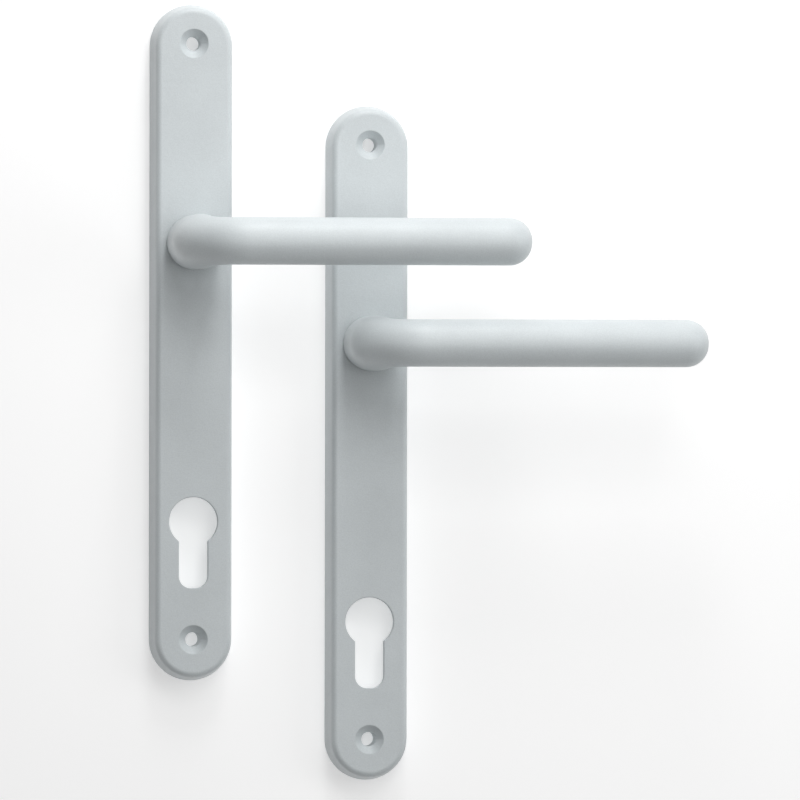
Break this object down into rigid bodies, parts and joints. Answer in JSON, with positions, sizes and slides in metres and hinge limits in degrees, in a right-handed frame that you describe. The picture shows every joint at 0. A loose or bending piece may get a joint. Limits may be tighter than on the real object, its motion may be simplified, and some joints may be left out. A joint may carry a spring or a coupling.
{
  "type": "door lever handle pair",
  "caption": "White lever handles on long round-ended backplates, sprung, with cut-outs for a profile lock cylinder and countersunk fixing holes.",
  "frame": {"origin": "under the middle of the pair's bounding box, on the plane of the backplates' backs", "axes": "+Z from the back of the plates to the levers, +Y along the plates from the cylinder cut-outs to the levers, +X along the levers from neck to tip"},
  "size_m": [0.2014, 0.287, 0.0572],
  "materials": {
    "white_powder_coat": "satin white powder coat",
    "white_nylon": "matte moulded",
    "zinc_plated_steel": "bright zinc plate",
    "spring_steel": "oiled spring steel",
    "black_steel": "black oxide"
  },
  "bodies": {
    "plates": {"left_backplate": "white_powder_coat", "left_bearing_bush": "white_nylon", "left_return_spring": "spring_steel", "left_spring_cover": "zinc_plated_steel", "left_cover_screw_upper": "zinc_plated_steel", "left_cover_screw_lower": "zinc_plated_steel", "right_backplate": "white_powder_coat", "right_bearing_bush": "white_nylon", "right_return_spring": "spring_steel", "right_spring_cover": "zinc_plated_steel", "right_cover_screw_upper": "zinc_plated_steel", "right_cover_screw_lower": "zinc_plated_steel"},
    "left_lever": {"left_lever": "white_powder_coat", "left_driver_plate": "zinc_plated_steel", "left_thrust_washer": "zinc_plated_steel", "left_dished_washer": "spring_steel", "left_retaining_ring": "spring_steel", "left_clamp_screw": "black_steel"},
    "right_lever": {"right_lever": "white_powder_coat", "right_driver_plate": "zinc_plated_steel", "right_thrust_washer": "zinc_plated_steel", "right_dished_washer": "spring_steel", "right_retaining_ring": "spring_steel", "right_clamp_screw": "black_steel"}
  },
  "joints": [
    {"name": "left_lever_turn", "type": "hinge", "parent": "plates", "child": "left_lever", "pos_m": [-0.0853, 0.05555, 0], "axis": [0, 0, 1], "range_deg": [0, 40], "stiffness_Nm_per_rad": 0.3, "springref_deg": -28.65, "deforming": ["left_return_spring"]},
    {"name": "right_lever_turn", "type": "hinge", "parent": "plates", "child": "right_lever", "pos_m": [-0.0197, 0.01845, 0], "axis": [0, 0, 1], "range_deg": [-40, 0], "stiffness_Nm_per_rad": 0.3, "springref_deg": 28.65, "deforming": ["right_return_spring"]}
  ]
}
